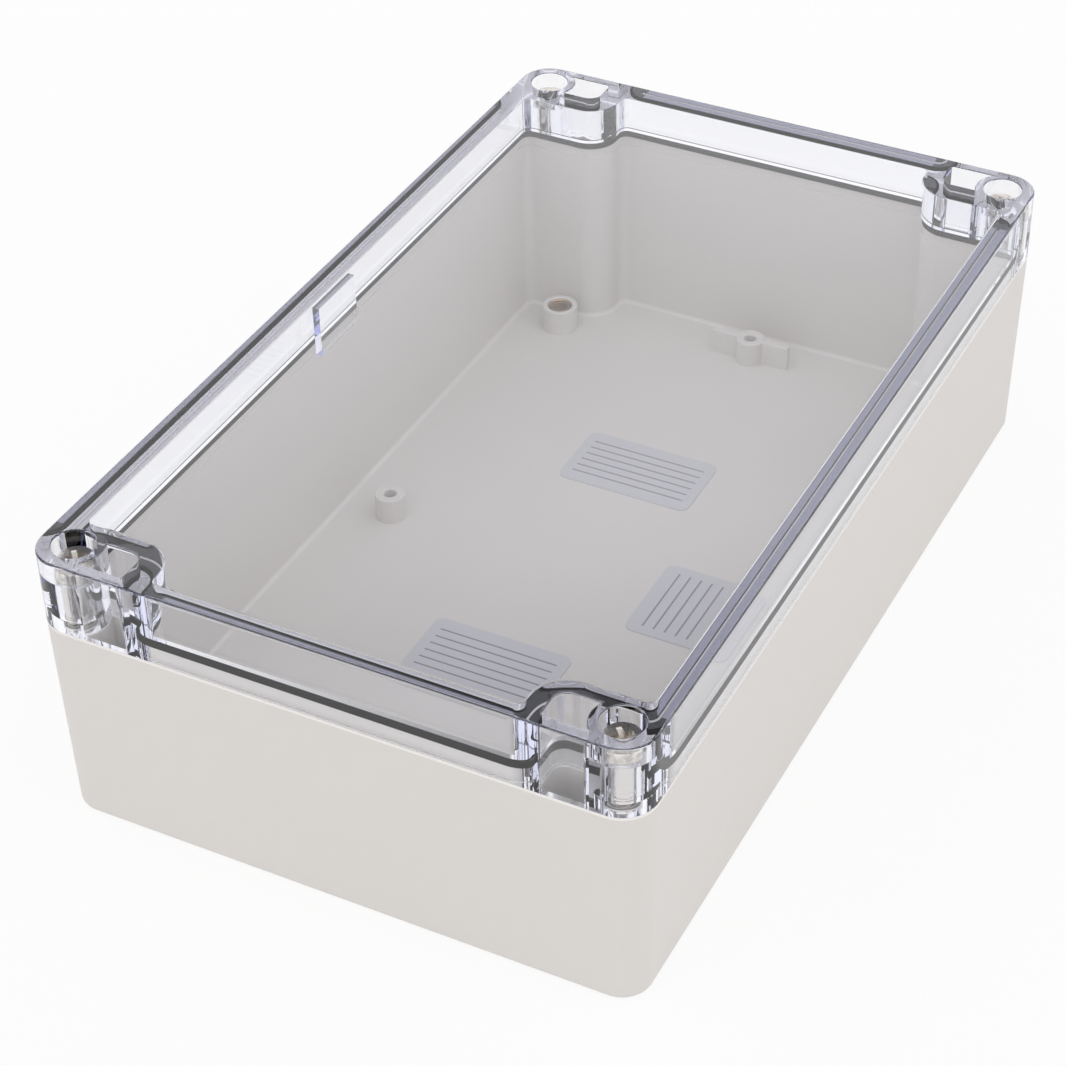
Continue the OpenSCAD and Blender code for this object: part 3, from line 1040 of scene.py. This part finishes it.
def thread_ridge(graph, given):
    """A ridge that winds up round the Z axis."""
    radius = given.out("Thread Radius")
    helix = graph.add("GeometryNodeCurveSpiral", {
        "Resolution": THREAD_STEPS, "Rotations": given.out("Turns"),
        "Start Radius": radius, "End Radius": radius, "Height": given.out("Thread Length")})
    ridge = graph.add("GeometryNodeCurvePrimitiveCircle", {
        "Resolution": RIDGE_SIDES, "Radius": given.out("Thread Depth")})
    return graph.moved(graph.sweep(helix, ridge), given.out("Thread Start"))


def screw_tree(material):
    """Adds a thread to a screw blank and sets it in its corner."""
    tree, graph = node_group("captive_screw", {**THREAD_INPUTS, "Corner": "NodeSocketVector"})
    given = graph.add("NodeGroupInput")
    joined = graph.join(given, thread_ridge(graph, given))
    close_group(graph, graph.moved(joined, given.out("Corner")), material)
    return tree


# Half the groove and the knurls as shares of an insert's length
GROOVE_SHARE = 0.12
KNURL_SHARE = 0.3


def insert_seed(outer, bore, chamfer, low, high):
    """A plain brass tube with chamfered mouths and a groove round its middle."""
    shell = Shell()
    groove = (high - low) * GROOVE_SHARE
    middle = (low + high) / 2
    waist = outer - 2 * chamfer / 3
    profile = [(bore + chamfer, low), (outer - chamfer, low), (outer, low + chamfer),
               (outer, middle - groove), (waist, middle - groove), (waist, middle + groove),
               (outer, middle + groove), (outer, high - chamfer), (outer - chamfer / 2, high),
               (bore + chamfer, high), (bore, high - chamfer), (bore, low + chamfer)]
    rings = [shell.ring(circle((0, 0), radius, TURNED_STEPS), z) for radius, z in profile]
    for lower, upper in zip(rings, rings[1:] + rings[:1]):
        shell.skin(lower, upper)
    return shell.mesh("insert_blank")


def insert_tree(material):
    """Knurls and a thread on a brass tube, and the tube repeated at the points of a rectangle."""
    tree, graph = node_group("brass_inserts", {
        **THREAD_INPUTS, "Knurls": "NodeSocketInt", "Low": "NodeSocketVector",
        **dict.fromkeys(("Radius", "Depth", "Length", "Span X", "Span Y"), "NodeSocketFloat")})
    given = graph.add("NodeGroupInput")
    depth = given.out("Depth")
    points = graph.add("GeometryNodeMeshCircle", {
        "Vertices": given.out("Knurls"), "Radius": given.out("Radius")})
    bar_size = graph.add("ShaderNodeCombineXYZ", {0: depth, 1: depth, 2: given.out("Length")})
    bar = graph.add("GeometryNodeMeshCube", {"Size": bar_size})
    where = graph.add("GeometryNodeInputPosition")
    facing = graph.add("FunctionNodeAlignRotationToVector", {"Vector": where}, axis="X")
    ridges = graph.add("GeometryNodeInstanceOnPoints", {
        "Points": points, "Instance": bar, "Rotation": facing})
    whole = graph.join(given, graph.moved(ridges, given.out("Low")), thread_ridge(graph, given))
    grid = graph.add("GeometryNodeMeshGrid", {
        "Size X": given.out("Span X"), "Size Y": given.out("Span Y"), "Vertices X": 2, "Vertices Y": 2})
    repeated = graph.add("GeometryNodeInstanceOnPoints", {"Points": grid, "Instance": whole})
    close_group(graph, repeated, material)
    return tree


class PieceOperator(bpy.types.Operator):
    """Base of the operators that make the pieces"""
    bl_options = {"REGISTER", "UNDO"}


class ENCLOSURE_OT_tub(PieceOperator):
    """Makes the grey base with its tongue, shafts and bosses"""
    bl_idname = "enclosure.make_tub"
    bl_label = "Make Base"

    def execute(self, context):
        settings = context.scene.enclosure
        add_piece("tub", tub_mesh(settings), "base", ["base"], tub_material(settings))
        return {"FINISHED"}


class ENCLOSURE_OT_lid(PieceOperator):
    """Makes the clear lid"""
    bl_idname = "enclosure.make_lid"
    bl_label = "Make Lid"

    def execute(self, context):
        settings = context.scene.enclosure
        add_piece("clear_cover", lid_mesh(settings), "lid", ["lid"], lid_material(settings))
        return {"FINISHED"}


class ENCLOSURE_OT_seal(PieceOperator):
    """Sweeps the gasket and its adhesive film along their groove"""
    bl_idname = "enclosure.make_seal"
    bl_label = "Make Gasket"

    def execute(self, context):
        settings = context.scene.enclosure
        seal = settings.seal
        # The rubber is squeezed against the lip and the outer part of the roof, so that no air is left there
        outer = settings.lid.lip - SLIP
        inner = HALF_W - SEAL_HIGH.x + seal.width
        outer_top = SEAL_TOP + seal.squeeze
        ring = seal_strip(settings, "seal_ring", seal_material(settings), (outer, inner), SEAL_LOW.z + SLIP,
                          (outer_top, outer_top - seal.lean), seal.rounding)
        add_piece("seal_ring", ring, "lid", ["gasket"])
        film_top = SEAL_TOP - SLIP / 2
        film_low = film_top - seal.film_height
        film = seal_strip(settings, "seal_film", film_material(settings), (inner - seal.film, inner),
                          film_low, (film_top, film_top), seal.film_height / 4, seal.film_run)
        add_piece("seal_film", film, "lid")
        return {"FINISHED"}


class ENCLOSURE_OT_screws(PieceOperator):
    """Makes the four captive lid screws, one on each body"""
    bl_idname = "enclosure.make_screws"
    bl_label = "Make Lid Screws"

    def execute(self, context):
        settings = context.scene.enclosure
        screw = settings.screw
        tree = screw_tree(screw_material(settings))
        seed = screw_seed(settings)
        depth = (screw.thread - screw.root) / 2
        thread = thread_values(screw.root / 2, depth, screw.pitch, SCREW_LOW.z,
                               SCREW_LOW.z + screw.thread_length + 2 * depth)
        for number, (sx, sy) in enumerate(CORNERS, 1):
            name = f"captive_screw_{number}"
            node = f"lid_screw_{number}"
            values = {**thread, "Corner": (sx * SCREW_X, sy * SCREW_Y, 0.0)}
            add_piece(name, grown_mesh(name, seed, tree, values), node, [node])
        return {"FINISHED"}


class ENCLOSURE_OT_inserts(PieceOperator):
    """Makes the brass inserts of the lid screws and of the board bosses"""
    bl_idname = "enclosure.make_inserts"
    bl_label = "Make Inserts"

    def execute(self, context):
        settings = context.scene.enclosure
        insert = settings.insert
        plated = insert_material("plated_brass", insert.plating)
        brass = insert_material("turned_brass", insert.colour)
        lid_bore = insert.lid_bore / 2
        board_bore = MOUNTS["board_inserts"]["hole_r_mm"] / MM_IN_M
        sets = (("lid_insert", plated, lid_bore, LID_INSERT_LOW, LID_INSERT_HIGH, SCREW_X, SCREW_Y),
                ("board_insert", brass, board_bore, BOARD_INSERT_LOW, BOARD_INSERT_HIGH, BOSS_X, BOSS_Y))
        for name, metal, bore, low, high, x, y in sets:
            outer = (high.x - low.x) / 2 - insert.knurl_depth
            seed = insert_seed(outer, bore, insert.chamfer, low.z, high.z)
            length = (high.z - low.z) * KNURL_SHARE
            thread = thread_values(bore, insert.thread_depth, insert.thread, low.z + insert.chamfer,
                                   high.z - insert.chamfer)
            mesh = grown_mesh(name + "_set", seed, insert_tree(metal), {
                **thread, "Knurls": insert.knurls, "Radius": outer, "Depth": insert.knurl_depth,
                "Low": (0.0, 0.0, high.z - length / 2 - insert.chamfer), "Length": length,
                "Span X": 2 * x, "Span Y": 2 * y})
            add_piece(name + "_set", mesh, "base", [f"{name}_{n}" for n in range(1, 5)])
        return {"FINISHED"}


class ENCLOSURE_OT_stickers(PieceOperator):
    """Gives the stickers on the floor their ruled film"""
    bl_idname = "enclosure.dress_stickers"
    bl_label = "Dress Stickers"

    def execute(self, context):
        for node in STICKERS:
            materials = frame["nodes"][node].data.materials
            materials.clear()
            materials.append(sticker_material(context.scene.enclosure, node))
        return {"FINISHED"}


def seen_plainly(graph):
    """Mask of the rays that see the ground straight, through clear plastic or in a reflection."""
    light = graph.add("ShaderNodeLightPath")
    return light.out("Is Camera Ray") | light.out("Is Glossy Ray") | light.out("Is Transmission Ray")


def floor_material(settings):
    """Plain white ground that keeps a soft shadow."""
    graph = new_material("white_ground")
    paper = graph.noise(graph.place(), feature=0.003, detail=2.0)
    matt = graph.surface(Base_Color=(0.92, 0.92, 0.92, 1.0), Roughness=0.9 + 0.05 * paper)
    glow = graph.add("ShaderNodeEmission", {"Color": WHITE, "Strength": 1.0})
    return graph.finish(graph.mix(seen_plainly(graph) * settings.stage.wash, matt, glow))


def stage_world(settings):
    """Even white studio light, dimmer towards the far side of the room."""
    stage = settings.stage
    world = bpy.data.worlds.new("white_studio")
    world.use_nodes = True
    graph = Graph(world.node_tree, world)
    toward = graph.add("ShaderNodeTexCoord").out("Generated")
    far_side = tuple(stage.far_side)
    aligned = graph.add("ShaderNodeVectorMath", {0: toward, 1: far_side}, operation="DOT_PRODUCT")
    dim = graph.add("ShaderNodeMapRange", {
        "Value": aligned.out("Value"), "From Min": math.cos(stage.far_edge),
        "From Max": math.cos(stage.far_heart)}, interpolation_type="SMOOTHSTEP")
    even = graph.add("ShaderNodeBackground", {"Color": WHITE, "Strength": stage.surround})
    far = graph.add("ShaderNodeBackground", {"Color": WHITE, "Strength": stage.far_light})
    graph.add("ShaderNodeOutputWorld", {"Surface": graph.mix(dim, even, far)})
    return world


def stage_camera(settings):
    """The camera at the photograph's place."""
    stage = settings.stage
    back = Vector((math.sin(stage.azimuth) * math.cos(stage.elevation),
                   -math.cos(stage.azimuth) * math.cos(stage.elevation), math.sin(stage.elevation)))
    right = Vector((math.cos(stage.azimuth), math.sin(stage.azimuth), 0))
    data = bpy.data.cameras.new("camera")
    data.sensor_width = stage.sensor
    data.lens = stage.lens
    data.shift_x, data.shift_y = stage.shift
    data.clip_start = 0.01
    camera = new_object("camera", data)
    turn = Matrix((right, back.cross(right), back)).transposed().to_4x4()
    camera.matrix_world = Matrix.Translation(Vector(stage.target) + back * stage.distance) @ turn
    return camera


class ENCLOSURE_OT_stage(bpy.types.Operator):
    """Sets the white ground, the light and the camera"""
    bl_idname = "enclosure.set_stage"
    bl_label = "Set Stage"

    def execute(self, context):
        settings = context.scene.enclosure
        scene = context.scene
        scene.view_settings.view_transform = "Standard"
        # Light runs down the clear walls through many reflections
        scene.cycles.max_bounces = 24
        scene.cycles.diffuse_bounces = 8
        scene.cycles.glossy_bounces = 16
        scene.cycles.transmission_bounces = 24
        half = settings.stage.floor_span / 2
        mesh = bpy.data.meshes.new("ground")
        corners = [(sx * half, sy * half, -SLIP) for sx, sy in CORNERS]
        mesh.from_pydata(corners, [], [range(len(corners))])
        mesh.materials.append(floor_material(settings))
        ground = new_object("ground", mesh)
        scene.world = stage_world(settings)
        scene.camera = stage_camera(settings)
        return {"FINISHED"}


class ENCLOSURE_PT_panel(bpy.types.Panel):
    """Lists the settings and the operators"""
    bl_idname = "ENCLOSURE_PT_panel"
    bl_label = "Sealed Enclosure"
    bl_space_type = "VIEW_3D"
    bl_region_type = "UI"
    bl_category = "Enclosure"

    def draw(self, context):
        settings = context.scene.enclosure
        for group in EnclosureSettings.__annotations__:
            part = getattr(settings, group)
            column = self.layout.column(heading=group.title())
            for name in part.__annotations__:
                column.prop(part, name)
        for operator in OPERATORS:
            self.layout.operator(operator.bl_idname)


SETTINGS = (OutlineSettings, TubSettings, LidSettings, SealSettings, ScrewSettings, InsertSettings,
            StickerSettings, StageSettings, EnclosureSettings)
OPERATORS = (ENCLOSURE_OT_tub, ENCLOSURE_OT_lid, ENCLOSURE_OT_seal, ENCLOSURE_OT_screws,
             ENCLOSURE_OT_inserts, ENCLOSURE_OT_stickers, ENCLOSURE_OT_stage)


def register():
    """Makes the classes and the settings known to Blender."""
    for cls in SETTINGS + OPERATORS + (ENCLOSURE_PT_panel,):
        bpy.utils.register_class(cls)
    bpy.types.Scene.enclosure = PointerProperty(type=EnclosureSettings)


def unregister():
    """Takes the settings and the classes away again."""
    del bpy.types.Scene.enclosure
    for cls in reversed(SETTINGS + OPERATORS + (ENCLOSURE_PT_panel,)):
        bpy.utils.unregister_class(cls)


def main():
    """Makes every piece and the stage."""
    register()
    bpy.ops.enclosure.make_tub()
    bpy.ops.enclosure.make_lid()
    bpy.ops.enclosure.make_seal()
    bpy.ops.enclosure.make_screws()
    bpy.ops.enclosure.make_inserts()
    bpy.ops.enclosure.dress_stickers()
    bpy.ops.enclosure.set_stage()


if __name__ == "__main__":
    main()
